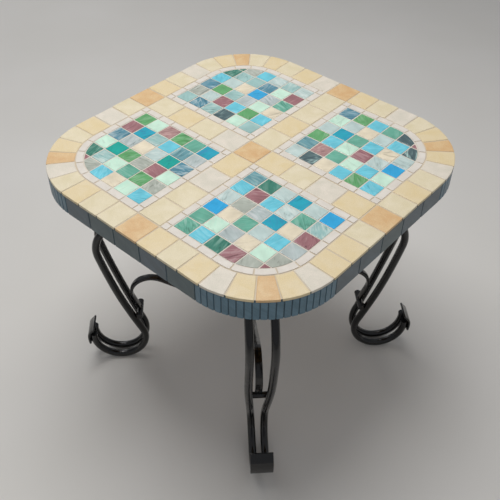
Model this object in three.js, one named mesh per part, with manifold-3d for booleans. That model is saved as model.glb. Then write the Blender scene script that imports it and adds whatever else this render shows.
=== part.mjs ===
// Square side table: a rounded board faced with a mosaic of glass and stone tiles,
// carried on four double-rod wrought-iron scroll legs tied by crossing stretcher bars.
// Units are millimetres, +Z is up, the floor is z = 0 and the legs stand on the diagonals.
import * as THREE from 'three';
import { mergeVertices } from 'three/addons/utils/BufferGeometryUtils.js';
import Module from 'manifold-3d';

const wasm = await Module();
wasm.setup();

// Whole table.
const TABLE_HEIGHT = 457;
const TOP_SIDE = 508;
const TOP_CORNER_RADIUS = 126;
const TOP_THICKNESS = 35;
const FIT_GAP = 0.3;

// Mosaic. Widths run from the middle of one grout joint to the middle of the next.
const GROUT_JOINT = 2;
const GROUT_RECESS = 0.8;
const BED_THICKNESS = 1;
const STONE_TILE_THICKNESS = 4;
const GLASS_TILE_THICKNESS = 3;
const RIM_TILE_THICKNESS = 4;
const RING_WIDTH = 42.7;
const CROSS_BAND_WIDTH = 42.7;
const WHITE_BORDER_WIDTH = 12.2;

// Leg rods. The bend sizes are those of the rod's centre line.
const ROD_RADIUS = 6.5;
const SPREAD_AT_TOP = 18.5;
const SPREAD_AT_FOOT = 10.5;
const CONVERGE_BELOW = 200;
const BULGE_INSET_FROM_CORNER = 50.5;
const BULGE_DEPTH_BELOW_TOP = 176;
const BULGE_BEND_RADIUS = 60;
const BULGE_LOWER_TURN = THREE.MathUtils.degToRad(12);
const BULGE_UPPER_TURN = THREE.MathUtils.degToRad(48);
const ROOT_BEND_RADIUS = 40;
const ROOT_STRAIGHT = 6;
const FOOT_INSET_FROM_BULGE = 12.7;
const FOOT_HALF_WIDTH = 47.5;
const FOOT_HALF_HEIGHT = 52;
const FOOT_TIP_TURN = THREE.MathUtils.degToRad(9);
const ANKLE_TURN = THREE.MathUtils.degToRad(-202);

// Bars that tie the legs.
const CROSSBAR_RADIUS = 5.5;
const CROSSBAR_HEIGHT = 114;
const CROSSBAR_END_OVERLAP = 5;
const SCROLL_PLATE_THICKNESS = 3.5;
const SCROLL_PLATE_SIDE_MARGIN = 1.5;
const SCROLL_PLATE_HIGH_TURN = THREE.MathUtils.degToRad(29);
const SCROLL_PLATE_CURL = 6;
const SCROLL_PLATE_LOW_TURN = THREE.MathUtils.degToRad(-12);
const STRETCHER_WIDTH = 12;
const STRETCHER_THICKNESS = 5;
const STRETCHER_RISE = 27;
const STRETCHER_LEAN = THREE.MathUtils.degToRad(20);
const STRETCHER_BEND_RADIUS = 36;
const STRETCHER_DESCENT = THREE.MathUtils.degToRad(31);
const STRETCHER_SAG_RADIUS = 120;

// Plate and screws that hold the base to the board.
const CROSS_PLATE_THICKNESS = 5;
const CROSS_PLATE_EDGE_MARGIN = 3;
const CROSS_PLATE_END_MARGIN = 8;
const SCREW_RADIUS = 2;
const SCREW_LENGTH = 25;
const SCREW_POINT_LENGTH = 4;
const SCREW_HEAD_RADIUS = 4.2;
const SCREW_HEAD_HEIGHT = 2.6;
const SCREW_HEAD_FACE_SHARE = 0.6;
const SCREW_INNER_STATION = 60;
const SCREW_OUTER_STATION = 122;

// How far a drill or a cutting block runs past the face that it opens, and the blunt end of a screw.
const CUT_OVERSHOOT = 1;
const SCREW_BLUNT_LENGTH = 1;

// How finely curves are cut into flats.
const CORNER_FLATS = 12;
const ROD_SIDES = 12;
const BAR_SIDES = 16;
const BEND_FLATS = 8;
const ROD_BEND_FLATS = 5;
const SHANK_FLATS = 6;

const halfSide = TOP_SIDE / 2;
const cornerCentre = halfSide - TOP_CORNER_RADIUS;
const cornerReach = cornerCentre * Math.SQRT2 + TOP_CORNER_RADIUS;
const underside = TABLE_HEIGHT - TOP_THICKNESS;
const stoneFloor = TABLE_HEIGHT - STONE_TILE_THICKNESS;
const bedBottom = stoneFloor - FIT_GAP - BED_THICKNESS;
const ringInner = halfSide - RING_WIDTH;
const bandHalf = CROSS_BAND_WIDTH / 2;
const fieldNear = bandHalf + WHITE_BORDER_WIDTH;
const fieldFar = ringInner - WHITE_BORDER_WIDTH;
const boardHalf = halfSide - RIM_TILE_THICKNESS - FIT_GAP;
const bulgeReach = cornerReach - BULGE_INSET_FROM_CORNER;
const footReach = bulgeReach - FOOT_INSET_FROM_BULGE;
const crossPlateTop = underside - FIT_GAP;
const crossPlateBottom = crossPlateTop - CROSS_PLATE_THICKNESS;

const corners = [
  { name: 'back_right', sx: 1, sy: 1, turn: Math.PI / 4 },
  { name: 'back_left', sx: -1, sy: 1, turn: (3 * Math.PI) / 4 },
  { name: 'front_left', sx: -1, sy: -1, turn: (5 * Math.PI) / 4 },
  { name: 'front_right', sx: 1, sy: -1, turn: (7 * Math.PI) / 4 },
];
const sides = [
  { name: 'right', turn: 0 },
  { name: 'back', turn: Math.PI / 2 },
  { name: 'left', turn: Math.PI },
  { name: 'front', turn: (3 * Math.PI) / 2 },
];

const point = (x, y) => new THREE.Vector2(x, y);

// Points of a circular arc, both ends included.
function arc(cx, cy, radius, from, to, flats) {
  const points = [];
  for (let i = 0; i <= flats; i += 1) {
    const angle = from + ((to - from) * i) / flats;
    points.push(point(cx + radius * Math.cos(angle), cy + radius * Math.sin(angle)));
  }
  return points;
}

// A closed outline as a shape whose outer edge runs anticlockwise.
function shapeOf(outline, hole) {
  const wind = (points) => (THREE.ShapeUtils.isClockWise(points) ? [...points].reverse() : points);
  const shape = new THREE.Shape(wind(outline));
  if (hole) shape.holes.push(new THREE.Path(wind(hole)));
  return shape;
}

// A flat slab between two heights.
function slab(shape, low, high) {
  const geometry = new THREE.ExtrudeGeometry(shape, { depth: high - low, bevelEnabled: false });
  geometry.translate(0, 0, low);
  return geometry;
}

function toManifold(geometry) {
  const bare = geometry.index ? geometry.toNonIndexed() : geometry.clone();
  bare.deleteAttribute('normal');
  bare.deleteAttribute('uv');
  const merged = mergeVertices(bare, 1e-4);
  const mesh = new wasm.Mesh({
    numProp: 3,
    vertProperties: new Float32Array(merged.attributes.position.array),
    triVerts: new Uint32Array(merged.index.array),
  });
  return new wasm.Manifold(mesh);
}

function toGeometry(solid) {
  const mesh = solid.getMesh();
  const geometry = new THREE.BufferGeometry();
  geometry.setAttribute('position', new THREE.BufferAttribute(mesh.vertProperties, 3));
  geometry.setIndex(new THREE.BufferAttribute(mesh.triVerts, 1));
  const flat = geometry.toNonIndexed();
  flat.computeVertexNormals();
  return flat;
}

function named(name, geometry, look) {
  const mesh = new THREE.Mesh(geometry, new THREE.MeshStandardMaterial(look));
  mesh.name = name;
  return mesh;
}

const looks = {
  board: { color: 0xb08d5f, roughness: 0.75, metalness: 0 },
  grout: { color: 0xb3a48c, roughness: 0.95, metalness: 0 },
  cream: { color: 0xddd0b0, roughness: 0.45, metalness: 0 },
  honey: { color: 0xddb27e, roughness: 0.45, metalness: 0 },
  white: { color: 0xeadfd6, roughness: 0.3, metalness: 0 },
  glass: { color: 0x6fb5ae, roughness: 0.15, metalness: 0 },
  slate: { color: 0x5f7480, roughness: 0.35, metalness: 0 },
  iron: { color: 0x141416, roughness: 0.35, metalness: 0.2 },
  screw: { color: 0x9a9c9e, roughness: 0.3, metalness: 1 },
};

// Mosaic outlines in the back-right quarter of the top.
const groutHalf = GROUT_JOINT / 2;
const mirror = (points, corner) => points.map((p) => point(p.x * corner.sx, p.y * corner.sy));

// A square patch whose outer corner is rounded about the same centre as the table's corner.
function quarterPatch(near, far) {
  const bend = arc(cornerCentre, cornerCentre, far - cornerCentre, 0, Math.PI / 2, CORNER_FLATS);
  return [point(near, near), point(far, near), ...bend, point(near, far)];
}

// The run of ring tiles that turns the corner from one middle accent tile to the next.
function ringRunOutline(near, inner, outer) {
  const centre = cornerCentre;
  const outside = arc(centre, centre, outer - centre, 0, Math.PI / 2, CORNER_FLATS);
  const inside = arc(centre, centre, inner - centre, Math.PI / 2, 0, CORNER_FLATS);
  const start = [point(inner, near), point(outer, near)];
  return [...start, ...outside, point(near, outer), point(near, inner), ...inside];
}

function rectangle(x0, x1, halfWidth) {
  return [point(x0, -halfWidth), point(x1, -halfWidth), point(x1, halfWidth), point(x0, halfWidth)];
}

// Each mosaic group's outline, grown by the given amount for its pocket in the grout.
const glassOutline = (grow) => quarterPatch(fieldNear + groutHalf - grow, fieldFar - groutHalf + grow);
const borderOutline = (grow) => quarterPatch(bandHalf + groutHalf - grow, ringInner - groutHalf + grow);
const borderHole = (grow) => quarterPatch(fieldNear - groutHalf + grow, fieldFar + groutHalf - grow);
const runOutline = (grow) =>
  ringRunOutline(bandHalf + groutHalf - grow, ringInner + groutHalf - grow, halfSide + grow);
const armOutline = (grow) =>
  rectangle(bandHalf + groutHalf - grow, ringInner - groutHalf + grow, bandHalf - groutHalf + grow);
const sideAccentOutline = (grow) =>
  rectangle(ringInner + groutHalf - grow, halfSide + grow, bandHalf - groutHalf + grow);
const centreOutline = (grow) =>
  rectangle(-bandHalf + groutHalf - grow, bandHalf - groutHalf + grow, bandHalf - groutHalf + grow);

// The square outline with rounded corners used by the board and the grout bed.
function roundedSquare(half) {
  const bend = quarterPatch(0, half).slice(2, -1);
  const outline = [];
  for (const side of sides) {
    outline.push(...bend.map((p) => p.clone().rotateAround(point(0, 0), side.turn)));
  }
  return shapeOf(outline);
}

function screwStations() {
  const stations = [];
  for (const corner of corners) {
    for (const reach of [SCREW_INNER_STATION, SCREW_OUTER_STATION]) {
      stations.push(point(reach * Math.cos(corner.turn), reach * Math.sin(corner.turn)));
    }
  }
  return stations;
}

// A round bar or drill standing on z = low.
function roundBar(radius, low, high, x, y) {
  const circle = arc(x, y, radius, 0, 2 * Math.PI, BAR_SIDES).slice(0, -1);
  return slab(shapeOf(circle), low, high);
}

function drilled(solid, radius, low, high) {
  let result = solid;
  for (const station of screwStations()) {
    result = result.subtract(toManifold(roundBar(radius, low, high, station.x, station.y)));
  }
  return result;
}

function boardGeometry() {
  const blank = toManifold(slab(roundedSquare(boardHalf), underside, bedBottom - FIT_GAP));
  const holeTop = crossPlateBottom + SCREW_LENGTH;
  return toGeometry(drilled(blank, SCREW_RADIUS + FIT_GAP, underside - CUT_OVERSHOOT, holeTop));
}

function bedGeometry() {
  const stonePocket = stoneFloor - FIT_GAP;
  const glassPocket = TABLE_HEIGHT - GLASS_TILE_THICKNESS - FIT_GAP;
  let bed = toManifold(slab(roundedSquare(boardHalf), bedBottom, TABLE_HEIGHT - GROUT_RECESS));
  const cut = (outline, hole, floor, turn) => {
    const pocket = slab(shapeOf(outline, hole), floor, TABLE_HEIGHT + CUT_OVERSHOOT);
    pocket.rotateZ(turn);
    bed = bed.subtract(toManifold(pocket));
  };
  cut(centreOutline(FIT_GAP), null, stonePocket, 0);
  for (const side of sides) {
    cut(armOutline(FIT_GAP), null, stonePocket, side.turn);
    cut(sideAccentOutline(FIT_GAP), null, stonePocket, side.turn);
  }
  for (const side of sides) {
    cut(glassOutline(FIT_GAP), null, glassPocket, side.turn);
    cut(borderOutline(FIT_GAP), borderHole(FIT_GAP), stonePocket, side.turn);
    cut(runOutline(FIT_GAP), null, stonePocket, side.turn);
  }
  return toGeometry(bed);
}

function mosaicTiles() {
  const group = new THREE.Group();
  const stone = (shape) => slab(shape, stoneFloor, TABLE_HEIGHT);
  const glass = (shape) => slab(shape, TABLE_HEIGHT - GLASS_TILE_THICKNESS, TABLE_HEIGHT);
  group.add(named('centre_accent_tile', stone(shapeOf(centreOutline(0))), looks.honey));
  for (const side of sides) {
    const arm = named(`cross_arm_${side.name}`, stone(shapeOf(armOutline(0))), looks.cream);
    const accent = named(`side_accent_${side.name}`, stone(shapeOf(sideAccentOutline(0))), looks.honey);
    arm.rotation.z = side.turn;
    accent.rotation.z = side.turn;
    group.add(arm, accent);
  }
  for (const corner of corners) {
    const field = shapeOf(mirror(glassOutline(0), corner));
    const border = shapeOf(mirror(borderOutline(0), corner), mirror(borderHole(0), corner));
    const run = shapeOf(mirror(runOutline(0), corner));
    group.add(named(`glass_field_${corner.name}`, glass(field), looks.glass));
    group.add(named(`white_border_${corner.name}`, stone(border), looks.white));
    group.add(named(`ring_run_${corner.name}`, stone(run), looks.cream));
  }
  return group;
}

// Upright tiles that face the edge of the board, straight runs and corner runs.
function rimTiles() {
  const group = new THREE.Group();
  const low = underside;
  const high = stoneFloor - FIT_GAP;
  const inner = halfSide - RIM_TILE_THICKNESS;
  const innerBend = inner - cornerCentre;
  const sideShape = shapeOf([
    point(inner, groutHalf - cornerCentre),
    point(halfSide, groutHalf - cornerCentre),
    point(halfSide, cornerCentre - groutHalf),
    point(inner, cornerCentre - groutHalf),
  ]);
  const trim = groutHalf / TOP_CORNER_RADIUS;
  const end = Math.PI / 2 - trim;
  const outside = arc(cornerCentre, cornerCentre, TOP_CORNER_RADIUS, trim, end, CORNER_FLATS);
  const inside = arc(cornerCentre, cornerCentre, innerBend, end, trim, CORNER_FLATS);
  const cornerShape = shapeOf([...outside, ...inside]);
  sides.forEach((side, i) => {
    const straight = named(`rim_side_${side.name}`, slab(sideShape, low, high), looks.slate);
    const bend = named(`rim_corner_${corners[i].name}`, slab(cornerShape, low, high), looks.slate);
    straight.rotation.z = side.turn;
    bend.rotation.z = side.turn;
    group.add(straight, bend);
  });
  return group;
}

// Centre of the foot's oval bend, in the leg's own upright plane.
const footCentre = point(footReach, ROD_RADIUS + FOOT_HALF_HEIGHT);

// A point on the foot's oval, pushed outward from the rod's centre line by an offset.
function footPoint(turn, offset) {
  const outward = point(Math.cos(turn) / FOOT_HALF_WIDTH, Math.sin(turn) / FOOT_HALF_HEIGHT);
  outward.setLength(offset);
  const x = footCentre.x + FOOT_HALF_WIDTH * Math.cos(turn) + outward.x;
  const y = footCentre.y + FOOT_HALF_HEIGHT * Math.sin(turn) + outward.y;
  return point(x, y);
}

// Part of the foot's oval centre line, both ends included.
function footBend(from, to, flats) {
  const points = [];
  for (let i = 0; i <= flats; i += 1) {
    points.push(footPoint(from + ((to - from) * i) / flats, 0));
  }
  return points;
}

// Centre line of a leg rod, from the cross plate down to the tip of the foot scroll.
function legLine() {
  const bulgeX = bulgeReach - BULGE_BEND_RADIUS;
  const bulgeY = TABLE_HEIGHT - BULGE_DEPTH_BELOW_TOP;
  const upper = BULGE_UPPER_TURN;
  const bulge = arc(bulgeX, bulgeY, BULGE_BEND_RADIUS, upper, -BULGE_LOWER_TURN, ROD_BEND_FLATS);
  const rodTop = crossPlateBottom - FIT_GAP;
  const rootY = rodTop - ROOT_STRAIGHT;
  const runRise = rootY - ROOT_BEND_RADIUS * Math.sin(upper) - bulge[0].y;
  const rootX = bulge[0].x - runRise * Math.tan(upper);
  const rootCentre = rootX + ROOT_BEND_RADIUS * Math.cos(upper);
  const rootBend = arc(rootCentre, rootY, ROOT_BEND_RADIUS, Math.PI, Math.PI + upper, ROD_BEND_FLATS);
  const root = [point(rootBend[0].x, rodTop), ...rootBend];
  const sole = -Math.PI / 2;
  const heel = footBend(ANKLE_TURN, sole, BEND_FLATS);
  const toe = footBend(sole, FOOT_TIP_TURN, BEND_FLATS);
  const shankTop = bulge[bulge.length - 1];
  const ankle = heel[0];
  const pull = shankTop.distanceTo(ankle) / 3;
  const topLean = point(-Math.sin(BULGE_LOWER_TURN), -Math.cos(BULGE_LOWER_TURN));
  const ankleLean = point(-FOOT_HALF_WIDTH * Math.sin(ANKLE_TURN), FOOT_HALF_HEIGHT * Math.cos(ANKLE_TURN));
  const upperPull = shankTop.clone().add(topLean.setLength(pull));
  const lowerPull = ankle.clone().sub(ankleLean.setLength(pull));
  const shank = new THREE.CubicBezierCurve(shankTop, upperPull, lowerPull, ankle);
  return { root, bulge, shank: shank.getSpacedPoints(SHANK_FLATS), heel, toe };
}

// A path that passes through its stations in equal steps, so each one becomes a section.
class StationPath extends THREE.Curve {
  constructor(stations) {
    super();
    this.stations = stations;
  }

  getPoint(t) {
    const place = THREE.MathUtils.clamp(t, 0, 1) * (this.stations.length - 1);
    const before = Math.min(Math.floor(place), this.stations.length - 2);
    return this.stations[before].clone().lerp(this.stations[before + 1], place - before);
  }

  getPointAt(u) {
    return this.getPoint(u);
  }

  getTangentAt(u) {
    return this.getTangent(u);
  }
}

// Half the distance between a leg's two rods, at a height between the plate and the sole.
function rodSpread(height) {
  const eased = THREE.MathUtils.smoothstep(height, ROD_RADIUS, CONVERGE_BELOW);
  return SPREAD_AT_FOOT + (SPREAD_AT_TOP - SPREAD_AT_FOOT) * eased;
}

function legRodGeometry(line, hand) {
  const down = [...line.root, ...line.bulge, ...line.shank.slice(1), ...line.heel.slice(1)];
  const place = (p, spread) => new THREE.Vector3(p.x, hand * spread, p.y);
  const upper = down.map((p) => place(p, rodSpread(p.y)));
  const toe = line.toe.slice(1).map((p) => place(p, SPREAD_AT_FOOT));
  const extrudePath = new StationPath([...upper, ...toe]);
  const steps = extrudePath.stations.length - 1;
  const section = shapeOf(arc(0, 0, ROD_RADIUS, 0, 2 * Math.PI, ROD_SIDES).slice(0, -1));
  return new THREE.ExtrudeGeometry(section, { steps, bevelEnabled: false, extrudePath });
}

// Where the crossbar lies against the inner side of the shanks.
function crossbarSeat(line) {
  const below = line.shank.findIndex((p) => p.y < CROSSBAR_HEIGHT);
  const upper = line.shank[below - 1];
  const lower = line.shank[below];
  const share = (upper.y - CROSSBAR_HEIGHT) / (upper.y - lower.y);
  const onShank = upper.clone().lerp(lower, share);
  const along = upper.clone().sub(lower).normalize();
  const offset = ROD_RADIUS + CROSSBAR_RADIUS + FIT_GAP;
  return point(onShank.x - along.y * offset, onShank.y + along.x * offset);
}

function crossbarGeometry(seat) {
  const half = rodSpread(CROSSBAR_HEIGHT) + CROSSBAR_END_OVERLAP;
  const bar = roundBar(CROSSBAR_RADIUS, -half, half, 0, 0);
  bar.rotateX(Math.PI / 2);
  bar.translate(seat.x, 0, seat.y);
  return bar;
}

// A profile drawn in the leg's upright plane, given a width across that plane.
function uprightSlab(outline, width) {
  const geometry = slab(shapeOf(outline), -width / 2, width / 2);
  geometry.rotateX(Math.PI / 2);
  return geometry;
}

// A curved plate welded over the outside of the two rod tips. Above them it curls inward.
function scrollPlateGeometry() {
  const low = SCROLL_PLATE_LOW_TURN;
  const halfWidth = SPREAD_AT_FOOT + ROD_RADIUS + SCROLL_PLATE_SIDE_MARGIN;
  const near = [];
  const far = [];
  for (let i = 0; i <= BEND_FLATS; i += 1) {
    const turn = low + ((SCROLL_PLATE_HIGH_TURN - low) * i) / BEND_FLATS;
    const curl = SCROLL_PLATE_CURL * THREE.MathUtils.smoothstep(turn, FOOT_TIP_TURN, SCROLL_PLATE_HIGH_TURN);
    const offset = ROD_RADIUS + FIT_GAP - curl;
    near.push(footPoint(turn, offset));
    far.push(footPoint(turn, offset + SCROLL_PLATE_THICKNESS));
  }
  return uprightSlab([...near, ...far.reverse()], 2 * halfWidth);
}

// Centre line of one stretcher arm, from its foot on the crossbar to the table's middle.
function stretcherLine(seat) {
  const foot = point(seat.x, seat.y + CROSSBAR_RADIUS + FIT_GAP);
  const leanTop = foot.clone().add(
    point(STRETCHER_RISE * Math.sin(STRETCHER_LEAN), STRETCHER_RISE * Math.cos(STRETCHER_LEAN)),
  );
  const bendX = leanTop.x - STRETCHER_BEND_RADIUS * Math.cos(STRETCHER_LEAN);
  const bendY = leanTop.y + STRETCHER_BEND_RADIUS * Math.sin(STRETCHER_LEAN);
  const bendEnd = Math.PI / 2 + STRETCHER_DESCENT;
  const bend = arc(bendX, bendY, STRETCHER_BEND_RADIUS, -STRETCHER_LEAN, bendEnd, 2 * BEND_FLATS);
  const last = bend[bend.length - 1];
  const sagX = STRETCHER_SAG_RADIUS * Math.sin(STRETCHER_DESCENT);
  const sagY = last.y - (last.x - sagX) * Math.tan(STRETCHER_DESCENT);
  const sagCentre = sagY + STRETCHER_SAG_RADIUS * Math.cos(STRETCHER_DESCENT);
  const sagStart = STRETCHER_DESCENT - Math.PI / 2;
  const sag = arc(0, sagCentre, STRETCHER_SAG_RADIUS, sagStart, -Math.PI / 2, BEND_FLATS);
  return [foot, ...bend, ...sag];
}

// The line thickened to a flat bar whose two ends are cut square to the given directions.
function barOutline(line, startAlong, endAlong) {
  const near = [];
  const far = [];
  const half = STRETCHER_THICKNESS / 2;
  const last = line.length - 1;
  line.forEach((p, i) => {
    let along = i === 0 ? startAlong : endAlong;
    if (i > 0 && i < last) along = line[i + 1].clone().sub(line[i - 1]).normalize();
    near.push(point(p.x - along.y * half, p.y + along.x * half));
    far.push(point(p.x + along.y * half, p.y - along.x * half));
  });
  return [...near, ...far.reverse()];
}

// One bar crosses the table in one piece; two half bars are welded to its sides.
function stretchers(line) {
  const group = new THREE.Group();
  const up = point(0, 1);
  const middle = line[line.length - 1];
  const rising = line.slice(0, -1);
  const through = [...line, ...rising.map((p) => point(-p.x, p.y)).reverse()];
  const fullBar = uprightSlab(barOutline(through, up, point(0, -1)), STRETCHER_WIDTH);
  const full = named('stretcher_through_bar', fullBar, looks.iron);
  full.rotation.z = corners[0].turn;
  group.add(full);
  const side = STRETCHER_WIDTH / 2 + FIT_GAP;
  const half = [...rising.filter((p) => p.x > side), point(side, middle.y)];
  for (const corner of [corners[1], corners[3]]) {
    const bar = uprightSlab(barOutline(half, up, point(-1, 0)), STRETCHER_WIDTH);
    const mesh = named(`stretcher_half_bar_${corner.name}`, bar, looks.iron);
    mesh.rotation.z = corner.turn;
    group.add(mesh);
  }
  return group;
}

function legs() {
  const group = new THREE.Group();
  const line = legLine();
  const seat = crossbarSeat(line);
  for (const corner of corners) {
    const leg = new THREE.Group();
    leg.add(named(`leg_rod_${corner.name}_a`, legRodGeometry(line, 1), looks.iron));
    leg.add(named(`leg_rod_${corner.name}_b`, legRodGeometry(line, -1), looks.iron));
    leg.add(named(`leg_crossbar_${corner.name}`, crossbarGeometry(seat), looks.iron));
    leg.add(named(`scroll_plate_${corner.name}`, scrollPlateGeometry(), looks.iron));
    leg.rotation.z = corner.turn;
    group.add(leg);
  }
  group.add(stretchers(stretcherLine(seat)));
  return group;
}

// Flat cross of two bars that the rods are welded to and the screws pass through.
function crossPlateGeometry(rodReach) {
  const half = SPREAD_AT_TOP + ROD_RADIUS + CROSS_PLATE_EDGE_MARGIN;
  const reach = rodReach + ROD_RADIUS + CROSS_PLATE_END_MARGIN;
  const outline = [];
  for (const side of sides) {
    const arm = [point(half, -half), point(reach, -half), point(reach, half)];
    outline.push(...arm.map((p) => p.rotateAround(point(0, 0), side.turn + Math.PI / 4)));
  }
  const blank = toManifold(slab(shapeOf(outline), crossPlateBottom, crossPlateTop));
  const low = crossPlateBottom - CUT_OVERSHOOT;
  return toGeometry(drilled(blank, SCREW_RADIUS + FIT_GAP, low, crossPlateTop + CUT_OVERSHOOT));
}

function screwGeometry() {
  const profile = [
    point(0, -SCREW_HEAD_HEIGHT),
    point(SCREW_HEAD_RADIUS * SCREW_HEAD_FACE_SHARE, -SCREW_HEAD_HEIGHT),
    point(SCREW_HEAD_RADIUS, -SCREW_HEAD_HEIGHT / 2),
    point(SCREW_HEAD_RADIUS, 0),
    point(SCREW_RADIUS, 0),
    point(SCREW_RADIUS, SCREW_LENGTH - SCREW_POINT_LENGTH),
    point(0, SCREW_LENGTH - SCREW_BLUNT_LENGTH),
  ];
  const geometry = new THREE.LatheGeometry(profile, BAR_SIDES);
  geometry.rotateX(Math.PI / 2);
  return geometry;
}

function fixings() {
  const group = new THREE.Group();
  const rodReach = legLine().root[0].x;
  group.add(named('top_cross_plate', crossPlateGeometry(rodReach), looks.iron));
  screwStations().forEach((station, i) => {
    const screw = named(`plate_screw_${i + 1}`, screwGeometry(), looks.screw);
    screw.position.set(station.x, station.y, crossPlateBottom - FIT_GAP);
    group.add(screw);
  });
  return group;
}

const group = new THREE.Group();
group.name = 'mosaic_side_table';
group.add(named('tabletop_board', boardGeometry(), looks.board));
group.add(named('grout_bed', bedGeometry(), looks.grout));
group.add(mosaicTiles());
group.add(rimTiles());
group.add(legs());
group.add(fixings());
export default group;
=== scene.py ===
# %% [markdown]
# # A mosaic side table on wrought iron legs
# The table is a thick wooden board faced with a hand-laid mosaic. Bands of cream stone tiles make
# a cross and a ring, and four fields of stained glass fill the gaps. Four pairs of round iron rods,
# scrolled at the foot, carry it. The CAD model fixes every place and size. Here each group
# of tiles becomes single tiles, the faceted iron becomes smooth, and everything gets its finish.

# %% Open the frame
import math
import random

import bmesh
import bpy
from mathutils import Matrix, Vector


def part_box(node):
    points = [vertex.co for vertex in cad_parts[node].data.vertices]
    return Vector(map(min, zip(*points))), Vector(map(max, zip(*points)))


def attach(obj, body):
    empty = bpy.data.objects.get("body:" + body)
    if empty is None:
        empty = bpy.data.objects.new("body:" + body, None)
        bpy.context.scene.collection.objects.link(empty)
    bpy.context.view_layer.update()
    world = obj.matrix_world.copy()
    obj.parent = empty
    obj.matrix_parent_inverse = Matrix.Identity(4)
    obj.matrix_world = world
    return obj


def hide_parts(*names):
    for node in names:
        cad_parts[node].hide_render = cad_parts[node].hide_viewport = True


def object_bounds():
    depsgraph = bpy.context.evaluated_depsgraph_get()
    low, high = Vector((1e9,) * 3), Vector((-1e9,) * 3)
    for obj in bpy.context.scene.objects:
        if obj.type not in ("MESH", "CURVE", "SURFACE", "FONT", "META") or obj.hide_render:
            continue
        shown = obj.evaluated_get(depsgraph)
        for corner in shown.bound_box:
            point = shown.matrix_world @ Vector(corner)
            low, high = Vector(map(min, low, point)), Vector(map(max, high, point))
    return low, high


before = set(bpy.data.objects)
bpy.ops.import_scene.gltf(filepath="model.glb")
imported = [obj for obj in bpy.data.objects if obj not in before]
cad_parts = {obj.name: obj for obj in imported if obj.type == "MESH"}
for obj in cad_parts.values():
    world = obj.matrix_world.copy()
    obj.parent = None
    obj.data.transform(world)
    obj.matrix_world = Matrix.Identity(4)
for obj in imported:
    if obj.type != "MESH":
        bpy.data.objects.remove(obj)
cad_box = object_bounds()
print("CAD box", cad_box)
MM = 0.001
random.seed(11)

# %% [markdown]
# ## The camera
# The eye stands 1.09 m up, 0.59 m to the right of the table's middle and 0.67 m in front of it,
# and looks down at the top by 43 degrees. A 52 mm lens on a full-frame sensor keeps the near
# corner from swelling. Two axes of the camera are written out, because the view also rolls by
# half a degree, and the third is at right angles to both.

# %% Set the camera
camera_data = bpy.data.cameras.new("camera")
camera_data.sensor_width = 36
camera_data.lens = 51.58
camera = bpy.data.objects.new("camera", camera_data)
bpy.context.scene.collection.objects.link(camera)
camera_right = Vector((0.74922, 0.66228, 0.00723)).normalized()
camera_back = Vector((0.4804, -0.5509, 0.6825)).normalized()
camera_up = camera_back.cross(camera_right)
camera_turn = Matrix((camera_right, camera_up, camera_back)).transposed()
camera_place = Vector((0.58524, -0.67419, 1.08711))
camera.matrix_world = Matrix.Translation(camera_place) @ camera_turn.to_4x4()
bpy.context.scene.camera = camera
print("camera", round(camera_place.length, 2), "m from the middle of the floor under the table")

# %% [markdown]
# ## Places taken from the frame
# The mosaic is a plan that repeats in four quarters, so every outline is worked out in the
# back right quarter and mirrored. Its lines come from the boxes of the CAD nodes. Tiles stand
# half a joint inside their lines, so half a joint is added back to find each line.

# %% Measure the plan
JOINT = 2 * MM
glass_low, glass_high = (Vector(c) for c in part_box("glass_field_back_right"))
centre_high = Vector(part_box("centre_accent_tile")[1])
arm_low, arm_high = (Vector(c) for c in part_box("cross_arm_right"))
rim_low, rim_high = (Vector(c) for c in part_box("rim_side_right"))
grout_low, grout_high = (Vector(c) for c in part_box("grout_bed"))
half_side = rim_high.x
top_height = arm_high.z
stone_floor = arm_low.z
band_half = centre_high.x + JOINT / 2
ring_inner = arm_high.x + JOINT / 2
field_near = glass_low.x - JOINT / 2
field_far = glass_high.x + JOINT / 2
corner_centre = rim_high.y + JOINT / 2
glass_pitch = (field_far - field_near) / 6
QUARTERS = {
    "back_right": (1, 1), "back_left": (-1, 1), "front_left": (-1, -1), "front_right": (1, -1)}
SIDES = {"right": 0, "back": 90, "left": 180, "front": 270}
LEG_TURNS = {"back_right": 45, "back_left": 135, "front_left": 225, "front_right": 315}
print("glass pitch mm", round(glass_pitch / MM, 2), "ring from", ring_inner, "to", half_side)

# %% [markdown]
# ## Nodes and colours
# One helper adds a node, sets its fields and joins its inputs. The short ones after it call it
# for the kinds of node that come up most. Colours are written as the sRGB hex values that
# a paint chart gives, and one function turns them to the linear values that light works in.

# %% Material helpers
def linear(hex_colour):
    """The linear colour of an sRGB hex value."""
    parts = [int(hex_colour[i : i + 2], 16) / 255 for i in (1, 3, 5)]
    return (*[c / 12.92 if c < 0.04045 else ((c + 0.055) / 1.055) ** 2.4 for c in parts], 1.0)


def add_node(tree, kind, fields=None, inputs=None, stops=None):
    """One node with its fields, its input values or links, and a ramp's colour stops."""
    node = tree.nodes.new(kind)
    for field, value in (fields or {}).items():
        setattr(node, field, value)
    for key, value in (inputs or {}).items():
        if isinstance(value, bpy.types.NodeSocket):
            tree.links.new(value, node.inputs[key])
        else:
            node.inputs[key].default_value = value
    for number, (position, colour) in enumerate(stops or []):
        elements = node.color_ramp.elements
        element = elements[number] if number < 2 else elements.new(position)
        element.position = position
        element.color = colour
    return node


def new_finish(name, roughness, ior=1.5, metallic=0.0, coat=0.0):
    """An empty material with its shader, whose constant values stand on its own sockets."""
    finish = bpy.data.materials.new(name)
    finish.use_nodes = True
    shader = finish.node_tree.nodes["Principled BSDF"]
    shader.inputs["Roughness"].default_value = roughness
    shader.inputs["IOR"].default_value = ior
    shader.inputs["Metallic"].default_value = metallic
    shader.inputs["Coat Weight"].default_value = coat
    shader.inputs["Coat Roughness"].default_value = 0.12
    return finish, finish.node_tree, shader


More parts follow.
